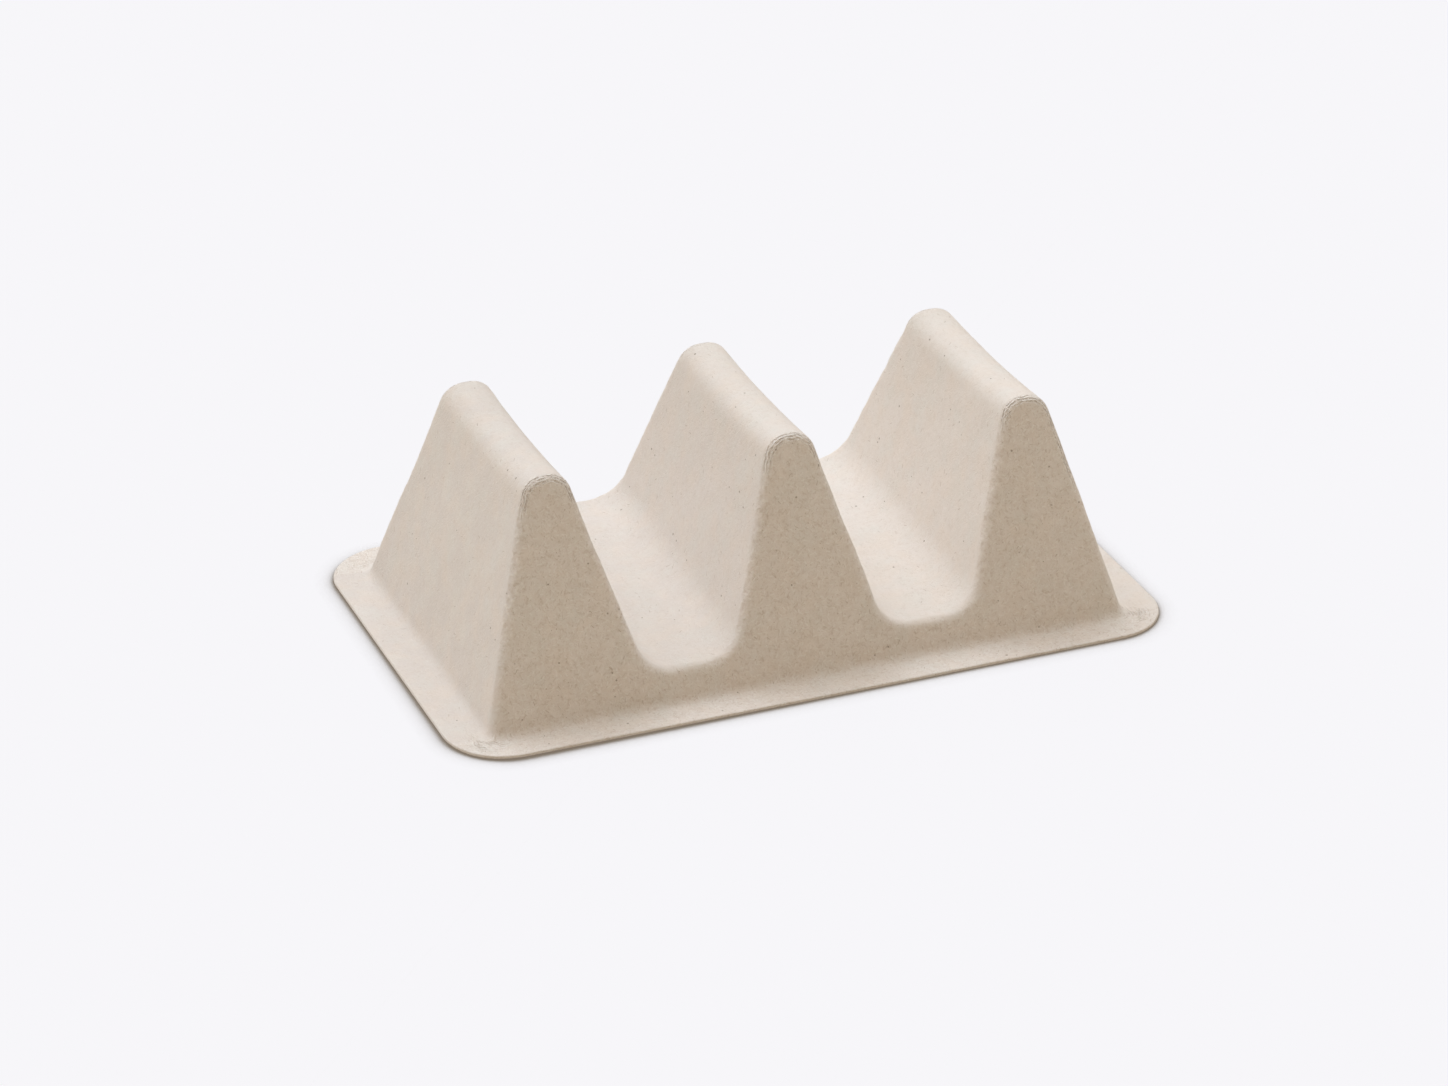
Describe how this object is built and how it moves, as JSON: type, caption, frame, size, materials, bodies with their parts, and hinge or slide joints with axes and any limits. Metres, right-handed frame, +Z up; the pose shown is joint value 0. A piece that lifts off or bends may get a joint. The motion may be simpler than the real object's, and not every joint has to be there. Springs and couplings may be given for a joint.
{
  "type": "molded pulp tray insert",
  "caption": "Shallow packing insert formed from one sheet of paper pulp: a flat rounded flange, tall ridges and open grooves between them that cradle and part the goods.",
  "frame": {"origin": "middle of the flange's underside, on which the insert stands", "axes": "+X across the ridges, +Y along the ridges and grooves from front to back, +Z up from the flange to the ridge tops"},
  "size_m": [0.2, 0.12, 0.062],
  "materials": {
    "pulp": "matt pressed natural fibre, with fine fibres and specks"
  },
  "bodies": {
    "root": {"tray_insert": "pulp"}
  },
  "joints": []
}
